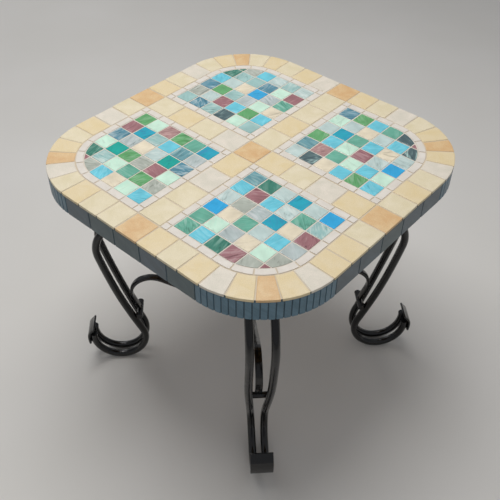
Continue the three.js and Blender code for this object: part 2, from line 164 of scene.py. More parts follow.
def noise(tree, place, scale, detail, **more):
    """A cloudy pattern with that many clouds to a metre."""
    return add_node(tree, "ShaderNodeTexNoise", inputs={
        "Vector": place, "Scale": scale, "Detail": detail, **more}).outputs["Fac"]


def ranged(tree, value, low, high, to_low, to_high, kind="LINEAR"):
    """A value stretched from one range to another."""
    return add_node(tree, "ShaderNodeMapRange", {"interpolation_type": kind}, {
        "Value": value, "From Min": low, "From Max": high,
        "To Min": to_low, "To Max": to_high}).outputs[0]


def maths(tree, operation, *values):
    """The result of one operation on the values."""
    return add_node(
        tree, "ShaderNodeMath", {"operation": operation}, dict(enumerate(values))).outputs[0]


def mixed(tree, share, first, second, kind="MIX"):
    """Two colours mixed by that share, or multiplied."""
    return add_node(tree, "ShaderNodeMix", {"data_type": "RGBA", "blend_type": kind}, {
        0: share, 6: first, 7: second}).outputs[2]


def ramp(tree, value, *stops):
    """A colour that changes with the value, from (position, hex colour) stops."""
    return add_node(tree, "ShaderNodeValToRGB", inputs={"Fac": value}, stops=[
        (position, linear(colour)) for position, colour in stops]).outputs["Color"]


def surface(tree, shader, colour, height=None, strength=0.0, depth=0.0):
    """Joins the colour to the shader, and the height as relief of that depth."""
    tree.links.new(colour, shader.inputs["Base Color"])
    if height:
        bump = add_node(tree, "ShaderNodeBump", inputs={
            "Height": height, "Strength": strength, "Distance": depth})
        tree.links.new(bump.outputs[0], shader.inputs["Normal"])


print("mid grey #808080 is", round(linear("#808080")[0], 3), "in linear light")

# %% [markdown]
# ## Stained glass
# The small squares are rolled opalescent glass. The glassmaker ladles two or three colours onto
# the table and rolls them out together, so streaks 30 mm long and 7 mm wide with finer ones in
# them run through the sheet, and the rollers leave a faint ripple. Every tile is cut from its own
# place in the sheet and turned at random, so each piece has a UV map named sheet, in metres, with
# its own turn and start. The glass is nearly opaque, so light is worked out at its surface, with
# the gloss of soda glass.

# %% Make the glass
def stained_glass(name, base, streak, amount):
    """Rolled glass of one base colour, with pale wisps and a few dark veins through it."""
    finish, tree, shader = new_finish(name, 0.15, ior=1.52)
    sheet = add_node(tree, "ShaderNodeUVMap", {"uv_map": "sheet"}).outputs["UV"]
    pulled = add_node(tree, "ShaderNodeMapping", inputs={"Vector": sheet, "Scale": (34, 150, 1)})
    swirl = noise(tree, pulled.outputs[0], 1.0, 4.0, Roughness=0.55, Distortion=1.3)
    wisps = ranged(tree, swirl, 0.46, 0.66, 0.0, amount, "SMOOTHSTEP")
    veins = ranged(tree, swirl, 0.44, 0.32, 0.0, 0.75 * amount, "SMOOTHSTEP")
    busy = ranged(tree, noise(tree, sheet, 16.0, 1.0), 0.4, 0.62, 0.15, 1.0)
    pale = maths(tree, "MULTIPLY", wisps, busy)
    dark = maths(tree, "MULTIPLY", veins, busy)
    deep = [c * 0.3 for c in linear(base)[:3]] + [1]
    wisped = mixed(tree, pale, linear(base), linear(streak))
    veined = mixed(tree, dark, wisped, deep)
    shade = ranged(tree, noise(tree, sheet, 55.0, 2.0), 0.3, 0.7, 0.9, 1.1)
    clouded = mixed(tree, 1.0, veined, shade, "MULTIPLY")
    ripple = noise(tree, sheet, 260.0, 2.0, Distortion=0.4)
    surface(tree, shader, clouded, ripple, 0.5, 0.12 * MM)
    return finish


GLASS_SORTS = {
    "S": ("sky_glass", "#69BFD0", "#99D7E1", 0.5),
    "Z": ("azure_glass", "#32A1D3", "#55B3DC", 0.5),
    "T": ("turquoise_glass", "#27A0B4", "#3C82AB", 0.7),
    "L": ("teal_glass", "#1DA093", "#23858D", 0.6),
    "G": ("grass_glass", "#609F67", "#93B697", 0.7),
    "E": ("emerald_glass", "#65A590", "#9BC1B2", 0.8),
    "D": ("forest_glass", "#3E7B6A", "#8BB0A2", 0.8),
    "M": ("mint_glass", "#C5E2CE", "#A7D7C2", 0.4),
    "P": ("pale_blue_glass", "#B5C7C3", "#D1D9D3", 0.7),
    "A": ("aqua_glass", "#96B9B5", "#C1CFC8", 0.9),
    "V": ("lavender_grey_glass", "#ACB7B5", "#CACCCC", 0.9),
    "U": ("taupe_glass", "#A5AA9F", "#BEC1B8", 1.0),
    "B": ("plum_glass", "#976A6E", "#B18F90", 0.9),
    "K": ("mauve_glass", "#A6827F", "#C3A6A1", 0.8),
    "C": ("cream_glass", "#DACEB5", "#E5DBC7", 0.5),
    "N": ("denim_glass", "#548596", "#ADBEC0", 0.9),
    "H": ("charcoal_glass", "#4C6064", "#A6C2BC", 1.0),
    "W": ("slate_teal_glass", "#64939B", "#9BB9B6", 0.9),
}
glass_finishes = {letter: stained_glass(*sort) for letter, sort in GLASS_SORTS.items()}
print(len(glass_finishes), "sorts of glass")

# %% [markdown]
# ## Stone, white glaze and slate-blue edge tiles
# The cream and honey tiles are honed limestone: soft clouds of colour some 20 mm across, a fine
# grain of a millimetre, and a satin surface. The narrow white strips are glazed. The
# edge of the table is faced with slate-blue glazed tile. Its green and violet sorts are that
# slate a little greener and at about half its brightness; the darkness is painted shade, that of
# the straight sides in half shade. One function serves all four, because they differ only in
# colour, gloss and how strong the clouds and the grain are.

# %% Make the tile finishes
def tile_finish(name, base, cloud_colour, roughness, grain, glaze=0.0):
    finish, tree, shader = new_finish(name, roughness, coat=glaze)
    sheet = add_node(tree, "ShaderNodeUVMap", {"uv_map": "sheet"}).outputs["UV"]
    cloud = noise(tree, sheet, 48.0, 5.0, Roughness=0.6, Distortion=0.5)
    fine = noise(tree, sheet, 900.0, 3.0)
    clouds = ramp(tree, cloud, (0.36, base), (0.68, cloud_colour))
    speckle = ranged(tree, fine, 0.3, 0.7, 1.0 - 0.16 * grain, 1.0 + 0.08 * grain)
    grained = mixed(tree, 1.0, clouds, speckle, "MULTIPLY")
    relief = maths(tree, "MULTIPLY_ADD", cloud, 2.0, fine)
    surface(tree, shader, grained, relief, 0.35 + 0.4 * grain, 0.1 * MM)
    return finish


stone_finishes = {
    "c": tile_finish("cream_limestone", "#D5C8A6", "#DED2B6", 0.42, 0.8),
    "i": tile_finish("ivory_limestone", "#CFC8B8", "#DDD3C4", 0.42, 0.8),
    "w": tile_finish("warm_limestone", "#D8C498", "#DCCBA8", 0.42, 0.8),
}
honey_finish = tile_finish("honey_limestone", "#CFA776", "#D9BC8F", 0.42, 0.9)
white_finish = tile_finish("white_glaze", "#D4CCC1", "#DED7CD", 0.25, 0.3, glaze=0.3)
# The green and violet sorts carry painted shade: the blue slate, a little greener and about half as
# bright, for the straight sides.
slate_finishes = {
    "b": tile_finish("slate_blue_glaze", "#4A6A7A", "#5B7C8D", 0.35, 0.7, glaze=0.1),
    "g": tile_finish("slate_green_glaze_painted_shade", "#3A4E53", "#485C60", 0.35, 0.7, glaze=0.1),
    "v": tile_finish("slate_violet_glaze_painted_shade", "#41515A", "#4E606B", 0.35, 0.7, glaze=0.1),
}
print("stone:", [finish.name for finish in stone_finishes.values()], honey_finish.name)
print("glaze:", [finish.name for finish in slate_finishes.values()], white_finish.name)

# %% [markdown]
# ## Grout, wood, iron and steel
# Grout is sanded cement: matt, with grains of sand near half a millimetre and slightly darker
# where it holds dust. The board is plywood, shown only from below: long grain streaks on a
# tan face. The iron is painted gloss black over hammer marks, so broad soft
# highlights run along it. Screws are plain zinced steel.

# %% Make the other finishes
def object_place(tree):
    """The place of each point in metres, from the object's origin."""
    return add_node(tree, "ShaderNodeTexCoord").outputs["Object"]


def grout_finish(name, base, dusty):
    finish, tree, shader = new_finish(name, 0.92)
    place = object_place(tree)
    tone = ramp(tree, noise(tree, place, 22.0, 4.0), (0.35, base), (0.7, dusty))
    surface(tree, shader, tone, noise(tree, place, 1600.0, 2.0), 0.8, 0.25 * MM)
    return finish


def plywood_finish():
    finish, tree, shader = new_finish("plywood_face", 0.6)
    place = object_place(tree)
    along = add_node(tree, "ShaderNodeMapping", inputs={"Vector": place, "Scale": (5, 120, 30)})
    grain = noise(tree, along.outputs[0], 1.0, 6.0, Distortion=1.4)
    tone = ramp(tree, grain, (0.3, "#8E6A40"), (0.5, "#B08D5F"), (0.72, "#C5A578"))
    surface(tree, shader, tone, grain, 0.4, 0.2 * MM)
    return finish


def painted_iron_finish():
    finish, tree, shader = new_finish("gloss_black_painted_iron", 0.25, coat=0.25)
    place = object_place(tree)
    dents = noise(tree, place, 130.0, 1.0)
    peel = noise(tree, place, 900.0, 2.0)
    wear = noise(tree, place, 75.0, 8.0, Roughness=0.7)
    tone = ramp(tree, wear, (0.55, "#040405"), (0.78, "#0E0C0A"))
    gloss = ranged(tree, wear, 0.35, 0.75, 0.12, 0.34)
    tree.links.new(gloss, shader.inputs["Roughness"])
    surface(tree, shader, tone, maths(tree, "MULTIPLY_ADD", dents, 6.0, peel), 0.6, 0.1 * MM)
    return finish


def zinc_finish():
    finish, tree, shader = new_finish("zinced_steel", 0.35, metallic=1.0)
    place = object_place(tree)
    spangle = add_node(tree, "ShaderNodeTexVoronoi", inputs={"Vector": place, "Scale": 700.0})
    tone = ramp(tree, spangle.outputs["Distance"], (0.2, "#A9ABAD"), (0.8, "#8C8F93"))
    surface(tree, shader, tone)
    return finish


stone_grout = grout_finish("taupe_grout", "#C2B49D", "#CDBFAA")
glass_grout = grout_finish("pale_grout", "#C9C0B2", "#D6CEC2")
edge_grout = grout_finish("slate_grout", "#41525B", "#4D5F69")
board_finish = plywood_finish()
iron_finish = painted_iron_finish()
screw_finish = zinc_finish()
print(len(bpy.data.materials), "materials so far, the frame's own included")

# %% [markdown]
# ## How a group of tiles is made
# A mosaic maker nips each tile by hand, so no two are quite alike. Modelling follows that. Each
# tile starts as a flat filled circle with as many corners as the tile, whose corners are moved to
# its outline. All the tiles of a group are then extruded upward together and their edges
# bevelled. Last, each tile is tilted a little, as it would be when it is pressed into the
# adhesive, and gets its own place on the sheet that its pattern comes from.

# %% Tile helpers
def only(piece):
    """Makes this object the only one selected and the active one."""
    bpy.ops.object.select_all(action="DESELECT")
    piece.select_set(True)
    bpy.context.view_layer.objects.active = piece


def start_outline(points, height):
    """A new object holding one flat outline: a filled circle whose corners are moved into place."""
    bpy.ops.object.select_all(action="DESELECT")
    bpy.ops.mesh.primitive_circle_add(vertices=len(points), radius=MM, fill_type="NGON")
    piece = bpy.context.object
    for corner, place in zip(piece.data.vertices, points):
        corner.co = (place[0], place[1], height)
    return piece


def add_outline(points, height, tile_number, slot):
    """The same in edit mode, inside the group that is being made."""
    bpy.ops.mesh.select_all(action="DESELECT")
    bpy.ops.mesh.primitive_circle_add(vertices=len(points), radius=MM, fill_type="NGON")
    mesh = bmesh.from_edit_mesh(bpy.context.object.data)
    mesh.verts.ensure_lookup_table()
    mesh.faces.ensure_lookup_table()
    for corner, place in zip(mesh.verts[-len(points):], points):
        corner.co = (place[0], place[1], height)
    mesh.faces[-1].material_index = slot
    mesh.faces[-1][mesh.faces.layers.int["tile"]] = tile_number


def select_edges(piece, wanted):
    """In edit mode, selects the edges that pass the test."""
    bpy.ops.mesh.select_mode(type="EDGE")
    bpy.ops.mesh.select_all(action="DESELECT")
    mesh = bmesh.from_edit_mesh(piece.data)
    for edge in mesh.edges:
        edge.select = wanted(edge)
    bmesh.update_edit_mesh(piece.data)


def high_end(edge):
    """The height of an edge's upper end."""
    return max(corner.co.z for corner in edge.verts)


def raise_up(height):
    """In edit mode, extrudes all of a flat outline upward and turns its faces outward."""
    bpy.ops.mesh.select_all(action="SELECT")
    bpy.ops.mesh.extrude_region_move(TRANSFORM_OT_translate={"value": (0, 0, height)})
    bpy.ops.mesh.select_all(action="SELECT")
    bpy.ops.mesh.normals_make_consistent(inside=False)


def dress(piece, finish, smooth_below=None):
    """Gives a piece one finish, and smooths it over edges flatter than so many degrees."""
    if smooth_below:
        only(piece)
        bpy.ops.object.shade_smooth_by_angle(angle=math.radians(smooth_below))
    piece.data.materials.clear()
    piece.data.materials.append(finish)


def lay_tiles(piece, tilt, lift):
    """Tilts each tile and gives it its own turn and start on the sheet it is cut from."""
    bpy.ops.object.mode_set(mode="OBJECT")
    mesh = bmesh.new()
    mesh.from_mesh(piece.data)
    number = mesh.faces.layers.int["tile"]
    sheet = mesh.loops.layers.uv.new("sheet")
    tiles = {}
    for face in mesh.faces:
        tiles.setdefault(face[number], []).append(face)
    for faces in tiles.values():
        corners = {corner for face in faces for corner in face.verts}
        middle = sum((corner.co for corner in corners), Vector()) / len(corners)
        turn = random.uniform(0, 2 * math.pi)
        start = Vector((random.uniform(0, 3), random.uniform(0, 3)))
        lean = Vector((random.uniform(-tilt, tilt), random.uniform(-tilt, tilt)))
        rise = random.uniform(-lift, lift)
        for face in faces:
            for loop in face.loops:
                flat = loop.vert.co.xy - middle.xy
                flat += Vector((loop.vert.co.z, loop.vert.co.z)) * abs(1 - abs(face.normal.z))
                loop[sheet].uv = start + Matrix.Rotation(turn, 2) @ flat
        for corner in corners:
            if corner.co.z > middle.z:
                corner.co.z += rise + lean.dot(corner.co.xy - middle.xy)
    mesh.to_mesh(piece.data)
    mesh.free()
    return len(tiles)


def keep(piece, node):
    """Fixes the piece to the frame: it rides on the one body and stands for its CAD node."""
    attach(piece, "root")
    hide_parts(node)


def tile_group(name, tiles, finishes, low, high, edge, node,
               tilt=0.006, lift=0.12 * MM, cuts=()):
    """A kept piece from (outline, slot) pairs: cut, extruded, bevelled and laid."""
    piece = start_outline(tiles[0][0], low)
    piece.name = piece.data.name = name
    for finish in finishes:
        piece.data.materials.append(finish)
    bpy.ops.object.mode_set(mode="EDIT")
    mesh = bmesh.from_edit_mesh(piece.data)
    mesh.faces.layers.int.new("tile")
    mesh.faces.ensure_lookup_table()
    mesh.faces[0].material_index = tiles[0][1]
    bmesh.update_edit_mesh(piece.data)
    for tile_number, (outline, slot) in enumerate(tiles[1:], 1):
        add_outline(outline, low, tile_number, slot)
    bmesh.update_edit_mesh(piece.data)
    for place, outward in cuts:
        bpy.ops.mesh.select_all(action="SELECT")
        bpy.ops.mesh.bisect(plane_co=place, plane_no=outward, clear_outer=True)
    raise_up(high - low)
    select_edges(piece, lambda edge: high_end(edge) > low + MM / 10)
    bpy.ops.mesh.bevel(offset=edge, segments=2, affect="EDGES", clamp_overlap=True)
    print(name, lay_tiles(piece, tilt, lift), "laid,", len(piece.data.polygons), "faces")
    keep(piece, node)


HAND_CUT = 0.22 * MM


def hand_cut(outline):
    """Moves the corners a little, as nippers do."""
    return [(x + random.uniform(-HAND_CUT, HAND_CUT), y + random.uniform(-HAND_CUT, HAND_CUT))
            for x, y in outline]


def rectangle(x0, y0, x1, y1):
    """A rectangle between two grid lines each way, less half a joint all round."""
    gap = JOINT / 2
    return [(x0 + gap, y0 + gap), (x1 - gap, y0 + gap), (x1 - gap, y1 - gap), (x0 + gap, y1 - gap)]


def mirrored(outline, quarter):
    """An outline of the back right quarter, moved to the same place in another one."""
    sx, sy = QUARTERS[quarter]
    return [(x * sx, y * sy) for x, y in outline]


print("a joint is", JOINT / MM, "mm and a hand cut is up to", round(HAND_CUT / MM, 2), "mm out")

# %% [markdown]
# ## The stained glass fields
# Each field is six by six tiles, an inch square with a 2 mm joint. The outer corner follows
# the table's round corner, so the tiles there are nipped to the arc. Here the flat tiles are
# bisected by planes that touch the arc. The letters chart the sorts of glass as laid,
# seen from above with the back of the table at the top.

# %% Lay the glass
GLASS_CHARTS = {
    "back_left": ("DUSPAP", "DAANMB", "SPCZVE", "NGAVMC", "UPBSGS", "ANAHMA"),
    "back_right": ("NGSEHB", "MPCPSH", "PTESCP", "GSMBPZ", "WKEMSM", "PHCSGS"),
    "front_left": ("GMKGET", "BTASWV", "NVCPLN", "MLGUBM", "DAMEGU", "BUSCMS"),
    "front_right": ("WDPTPZ", "SBSPEA", "PUVTCB", "ZCEPSV", "EMVCMU", "ESDBUB"),
}
field_bend = field_far - JOINT / 2 - corner_centre
ARC_CUTS = 24


def arc_cuts(quarter):
    """Planes that touch the field's corner arc, about every four degrees."""
    sx, sy = QUARTERS[quarter]
    planes = []
    for step in range(ARC_CUTS):
        angle = math.radians(90 * step / (ARC_CUTS - 1))
        outward = (math.cos(angle) * sx, math.sin(angle) * sy, 0)
        x = (corner_centre + field_bend * math.cos(angle)) * sx
        y = (corner_centre + field_bend * math.sin(angle)) * sy
        planes.append(((x, y, 0), outward))
    return planes


for quarter, chart in GLASS_CHARTS.items():
    sx, sy = QUARTERS[quarter]
    sorts = sorted(set("".join(chart)))
    tiles = []
    for i in range(6):
        for j in range(6):
            letter = chart[5 - j if sy > 0 else j][i if sx > 0 else 5 - i]
            x, y = field_near + i * glass_pitch, field_near + j * glass_pitch
            outline = hand_cut(rectangle(x, y, x + glass_pitch, y + glass_pitch))
            tiles.append((mirrored(outline, quarter), sorts.index(letter)))
    tile_group(
        f"glass_tiles_{quarter}", tiles, [glass_finishes[letter] for letter in sorts], glass_low.z,
        top_height, 0.4 * MM, f"glass_field_{quarter}", cuts=arc_cuts(quarter))
print("the glass is", round((top_height - glass_low.z) / MM, 1), "mm thick")

# %% [markdown]
# ## Tiles that follow the edge
# The ring, the white border and the edge strips all follow the same line: straight along a side,
# round the corner, and straight again. One function gives the point at a length along that line,
# and another the outline of a tile between two lengths. Lengths are measured on a
# reference line, so the inner end of a corner tile comes out narrower, as a wedge.

# %% Edge helpers
def edge_point(length, reference, half):
    """The point at that length along the reference line, moved to half the width wanted."""
    bend = (reference - corner_centre) * math.pi / 2
    if length <= corner_centre:
        return (half, length)
    if length >= corner_centre + bend:
        return (2 * corner_centre + bend - length, half)
    angle = (length - corner_centre) / (reference - corner_centre)
    reach = half - corner_centre
    return (corner_centre + reach * math.cos(angle), corner_centre + reach * math.sin(angle))


def edge_tile(start, end, reference, inner, outer):
    """The outline of one tile between two lengths and two half widths."""
    first, last = start + JOINT / 2, end - JOINT / 2
    bend_start = corner_centre
    bend_end = corner_centre + (reference - corner_centre) * math.pi / 2
    stations = [first, last]
    stations += [s for s in (bend_start, bend_end) if first + MM < s < last - MM]
    between = [first + (last - first) * k / 5 for k in range(1, 5)]
    stations += [s for s in between if bend_start < s < bend_end]
    stations.sort()
    return [edge_point(s, reference, outer) for s in stations] + [
        edge_point(s, reference, inner) for s in reversed(stations)]


print("the edge bends from", round(corner_centre / MM, 1), "mm off the middle of a side")

# %% [markdown]
# ## The white border
# A single row of narrow white strips frames each glass field. Beside the cross it is one strip
# to each row of glass, with a small piece where the row turns. Along the ring the first three
# strips keep that beat, and five more carry the border round the bend.

# %% Lay the white border
border_middle = (field_far + ring_inner) / 2
STRAIGHT_STRIPS, BEND_STRIPS = 3, 5
bend_first = field_near + STRAIGHT_STRIPS * glass_pitch
border_length = 2 * corner_centre + (border_middle - corner_centre) * math.pi / 2
bend_step = (border_length - 2 * bend_first) / BEND_STRIPS
for quarter in QUARTERS:
    outlines = [rectangle(band_half, band_half, field_near, field_near)]
    outlines.append(rectangle(band_half, field_far, field_near, ring_inner))
    outlines.append(rectangle(field_far, band_half, ring_inner, field_near))
    for k in range(6):
        a = field_near + k * glass_pitch
        outlines.append(rectangle(band_half, a, field_near, a + glass_pitch))
        outlines.append(rectangle(a, band_half, a + glass_pitch, field_near))
    for k in range(STRAIGHT_STRIPS):
        a = field_near + k * glass_pitch
        outlines.append(rectangle(field_far, a, ring_inner, a + glass_pitch))
        outlines.append(rectangle(a, field_far, a + glass_pitch, ring_inner))
    for k in range(BEND_STRIPS):
        a = bend_first + k * bend_step
        outlines.append(edge_tile(
            a, a + bend_step, border_middle, field_far + JOINT / 2, ring_inner - JOINT / 2))
    tiles = [(mirrored(hand_cut(o), quarter), 0) for o in outlines]
    tile_group(
        f"white_strips_{quarter}", tiles, [white_finish], stone_floor, top_height, 0.5 * MM,
        f"white_border_{quarter}")
print("strips are", round((field_near - band_half - JOINT) / MM, 1), "mm wide beside the cross")
print("a strip at the bend is", round(bend_step / MM, 1), "mm long with its joint")

# %% [markdown]
# ## The ring and the cross
# Ten cream tiles and a honey one turn each corner of the ring. Five tiles take up the length
# between the middle of a side and the corner tile, so those at the bend are wedges. The cross has
# four tiles in each arm, a honey tile at each end, and one in the middle of the table. The
# letters say which stone came to hand: cream, ivory or warm.

# %% Lay the stone tiles
RING_CHART = {
    "back_right": "cwciwwcicw", "back_left": "wcicwcwcwi",
    "front_left": "ciwcwicwcc", "front_right": "cwwiwwiwcw",
}
ARM_CHART = {"right": "wciw", "back": "cwcc", "left": "icwc", "front": "wicc"}
stone_letters = list(stone_finishes)
stone_slots = [stone_finishes[letter] for letter in stone_letters]
corner_middle = corner_centre + (half_side - corner_centre) * math.pi / 4
accent_half = (half_side - corner_centre) * math.radians(7.5)
HALF_RING_TILES, STONE_EDGE = 5, 0.8 * MM
ring_step = (corner_middle - accent_half - band_half) / HALF_RING_TILES
for quarter, letters in RING_CHART.items():
    tiles = []
    inner = ring_inner + JOINT / 2
    for k in range(HALF_RING_TILES):
        a = band_half + k * ring_step
        outline = edge_tile(a, a + ring_step, half_side, inner, half_side)
        tiles.append((outline, stone_letters.index(letters[k])))
        tiles.append(([(y, x) for x, y in outline], stone_letters.index(letters[-1 - k])))
    corner = edge_tile(
        corner_middle - accent_half, corner_middle + accent_half, half_side, inner, half_side)
    tiles.append((corner, len(stone_slots)))
    tiles = [(mirrored(hand_cut(o), quarter), slot) for o, slot in tiles]
    tile_group(
        f"ring_tiles_{quarter}", tiles, [*stone_slots, honey_finish], stone_floor, top_height,
        STONE_EDGE, f"ring_run_{quarter}")


def turned(outline, degrees):
    """The outline turned about the table's middle."""
    turn = Matrix.Rotation(math.radians(degrees), 2)
    return [tuple(turn @ Vector(p)) for p in outline]


arm_pitch = (ring_inner - band_half) / len(ARM_CHART["right"])
for side, degrees in SIDES.items():
    tiles = []
    for k, letter in enumerate(ARM_CHART[side]):
        a = band_half + k * arm_pitch
        outline = rectangle(a, -band_half, a + arm_pitch, band_half)
        tiles.append((turned(hand_cut(outline), degrees), stone_letters.index(letter)))
    tile_group(
        f"arm_tiles_{side}", tiles, stone_slots, stone_floor, top_height, STONE_EDGE,
        f"cross_arm_{side}")
    outline = rectangle(ring_inner, -band_half, half_side + JOINT / 2, band_half)
    tile_group(
        f"honey_tile_{side}", [(turned(outline, degrees), 0)], [honey_finish],
        stone_floor, top_height, STONE_EDGE, f"side_accent_{side}")
outline = rectangle(-band_half, -band_half, band_half, band_half)
tile_group(
    "honey_tile_centre", [(outline, 0)], [honey_finish], stone_floor, top_height, STONE_EDGE,
    "centre_accent_tile")
print("an arm tile is", round(arm_pitch / MM, 1), "mm long with its joint")

# %% [markdown]
# ## The faced edge
# Upright tiles cover the edge of the board. A flat tile cannot follow a curve, so the maker
# used five wide tiles on each straight side and twenty narrow strips round each corner.

# %% Lay the edge tiles
# The wide tiles on the straight sides take only the green and violet sorts, whose extra darkness is
# painted shade; the corner strips take the blue.
WIDE_CHART = {"right": "vvgvv", "back": "gvvgv", "left": "gvgvv", "front": "vggvg"}
slate_letters = list(slate_finishes)
slate_slots = [slate_finishes[letter] for letter in slate_letters]
EDGE_JOINT = 1.4 * MM
STRIPS_PER_CORNER = 20
rim_back = rim_low.x
for side, degrees in SIDES.items():
    pitch = 2 * corner_centre / len(WIDE_CHART[side])
    tiles = []
    for k, letter in enumerate(WIDE_CHART[side]):
        a = -corner_centre + k * pitch + EDGE_JOINT / 2
        b = a + pitch - EDGE_JOINT
        outline = [(rim_back, a), (half_side, a), (half_side, b), (rim_back, b)]
        tiles.append((turned(outline, degrees), slate_letters.index(letter)))
    tile_group(
        f"edge_tiles_{side}", tiles, slate_slots, rim_low.z, rim_high.z, 0.6 * MM,
        f"rim_side_{side}", tilt=0, lift=0)
strip = (half_side - corner_centre) * math.pi / 2 / STRIPS_PER_CORNER
for quarter in QUARTERS:
    tiles = []
    for k in range(STRIPS_PER_CORNER):
        start = corner_centre + k * strip + EDGE_JOINT / 2
        end = corner_centre + (k + 1) * strip - EDGE_JOINT / 2
        outline = [edge_point(s, half_side, half_side) for s in (start, end)]
        outline += [edge_point(s, half_side, rim_back) for s in (end, start)]
        tiles.append((mirrored(outline, quarter), 0))
    tile_group(
        f"edge_strips_{quarter}", tiles, slate_slots, rim_low.z, rim_high.z, 0.6 * MM,
        f"rim_corner_{quarter}", tilt=0, lift=0)
print("a strip at the corner is", round(strip / MM, 1), "mm wide with its joint")

# %% [markdown]
# ## The grout
# Grout is wiped into every joint and stands a little below the tiles. It is one cap over the
# board: a slab under the mosaic with a skirt behind the edge tiles. A rounded square is
# extruded, its lower face is inset by the skirt's width and pushed up to the board. The glass
# was wiped with a paler grout than the stone, so four thin pads of it fill the fields.

# %% Fill the joints
def round_corner(half, steps):
    """The arc of one corner of the top at that half width."""
    bend = (half - corner_centre) * math.pi / 2
    return [edge_point(corner_centre + bend * k / steps, half, half) for k in range(steps + 1)]


def face_at(piece, height, slot=None):
    """In edit mode, selects the level faces at that height."""
    bpy.ops.mesh.select_mode(type="FACE")
    bpy.ops.mesh.select_all(action="DESELECT")
    mesh = bmesh.from_edit_mesh(piece.data)
    for face in mesh.faces:
        off = abs(face.calc_center_median().z - height)
        face.select = off < MM / 20 and abs(face.normal.z) > 0.9
        if face.select and slot is not None:
            face.material_index = slot
    bmesh.update_edit_mesh(piece.data)


grout_top = grout_high.z
skirt_low = rim_low.z + 0.4 * MM
grout_half = half_side - 0.8 * MM
board_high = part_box("tabletop_board")[1]
top_outline = []
for degrees in SIDES.values():
    top_outline += turned(round_corner(grout_half, 24), degrees)
grout = start_outline(top_outline, skirt_low)
grout.name = grout.data.name = "grout_cap"
for finish in (edge_grout, stone_grout):
    grout.data.materials.append(finish)
bpy.ops.object.mode_set(mode="EDIT")
raise_up(grout_top - skirt_low)
face_at(grout, skirt_low)
bpy.ops.mesh.inset(thickness=grout_half - board_high.x - 0.1 * MM)
bpy.ops.transform.translate(value=(0, 0, grout_low.z - skirt_low))
face_at(grout, grout_top, slot=1)
bpy.ops.object.mode_set(mode="OBJECT")
keep(grout, "grout_bed")

near, far = field_near - JOINT / 2, field_far + JOINT / 2
pad = [(near, near), (far, near), *round_corner(far, 16), (near, far)]
pads = [(mirrored(pad, quarter), 0) for quarter in QUARTERS]
tile_group(
    "grout_pads", pads, [glass_grout], stone_floor, grout_top + 0.15 * MM, 0.1 * MM,
    "grout_bed", tilt=0, lift=0)
print("grout stands", round((top_height - grout_top) / MM, 2), "mm below the tiles")

# %% [markdown]
# ## The line of a leg
# A smith bends each leg rod cold round formers, so its line is a chain of bends: a root that
# turns down from the plate, a bulge at the knee, a long easy shank, and an oval foot that
# rolls on the floor and curls up outside. The line is drawn in the leg's own upright plane, where
# x runs out from the table's middle and y is height. Its measures are those of the CAD model,
# and the rod's box is compared with the CAD node's to prove it.

# %% Draw the leg line
ROD_RADIUS = 6.5 * MM
KNEE_BEND = 60 * MM
KNEE_UP, KNEE_DOWN = math.radians(48), math.radians(12)
ROOT_BEND, ROOT_STRAIGHT = 40 * MM, 6 * MM
FOOT_WIDE, FOOT_TALL = 47.5 * MM, 52 * MM
TIP_TURN, ANKLE_TURN = math.radians(9), math.radians(-202)
corner_reach = corner_centre * math.sqrt(2) + half_side - corner_centre
KNEE_INSET, KNEE_DEPTH, FOOT_INSET = 50.5 * MM, 176 * MM, 12.7 * MM
knee = Vector((corner_reach - KNEE_INSET - KNEE_BEND, top_height - KNEE_DEPTH))
foot_middle = Vector((knee.x + KNEE_BEND - FOOT_INSET, ROD_RADIUS + FOOT_TALL))
rod_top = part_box("leg_rod_back_right_a")[1].z


def bend(middle, radius, start, end, steps):
    """Points of a circular bend, both ends included."""
    angles = [start + (end - start) * k / steps for k in range(steps + 1)]
    return [Vector((middle[0] + radius * math.cos(a), middle[1] + radius * math.sin(a)))
            for a in angles]


def foot_point(angle, outward=0.0):
    """A point of the oval foot, moved outward from the rod's centre line."""
    normal = Vector((math.cos(angle) / FOOT_WIDE, math.sin(angle) / FOOT_TALL)).normalized()
    oval = Vector((FOOT_WIDE * math.cos(angle), FOOT_TALL * math.sin(angle)))
    return foot_middle + oval + normal * outward


def shank_line(start, end, steps):
    """An easy curve from the knee to the ankle, level with the bends at both ends."""
    pull = (end - start).length / 3
    first = start + Vector((-math.sin(KNEE_DOWN), -math.cos(KNEE_DOWN))) * pull
    ankle = Vector((-FOOT_WIDE * math.sin(ANKLE_TURN), FOOT_TALL * math.cos(ANKLE_TURN)))
    second = end - ankle.normalized() * pull
    points = []
    for k in range(steps + 1):
        t = k / steps
        points.append(start * (1 - t) ** 3 + first * 3 * t * (1 - t) ** 2
                      + second * 3 * t * t * (1 - t) + end * t ** 3)
    return points


knee_line = bend(knee, KNEE_BEND, KNEE_UP, -KNEE_DOWN, 14)
root_height = rod_top - ROOT_STRAIGHT
run = root_height - ROOT_BEND * math.sin(KNEE_UP) - knee_line[0].y
root_x = knee_line[0].x - run * math.tan(KNEE_UP) + ROOT_BEND * math.cos(KNEE_UP)
root_line = bend((root_x, root_height), ROOT_BEND, math.pi, math.pi + KNEE_UP, 10)
root_line.insert(0, Vector((root_line[0].x, rod_top)))
angles = [ANKLE_TURN + (TIP_TURN - ANKLE_TURN) * k / 44 for k in range(45)]
foot_line = [foot_point(angle) for angle in angles]
shank = shank_line(knee_line[-1], foot_line[0], 16)
leg_line = root_line + knee_line + shank[1:-1] + foot_line
print("leg line", len(leg_line), "points, widest", round(max(p.x for p in leg_line) / MM, 1), "mm")

# %% [markdown]
# ## The leg rods
# A rod is a curve with a round bevel, turned into a mesh, because a curve keeps its section
# square to the line all the way round the foot. The two rods of a leg stand 37 mm apart at the
# top and draw in to 21 mm at the foot. One pair is made and copied to the four corners,
# each copy turned about the table's upright axis with its own mesh.

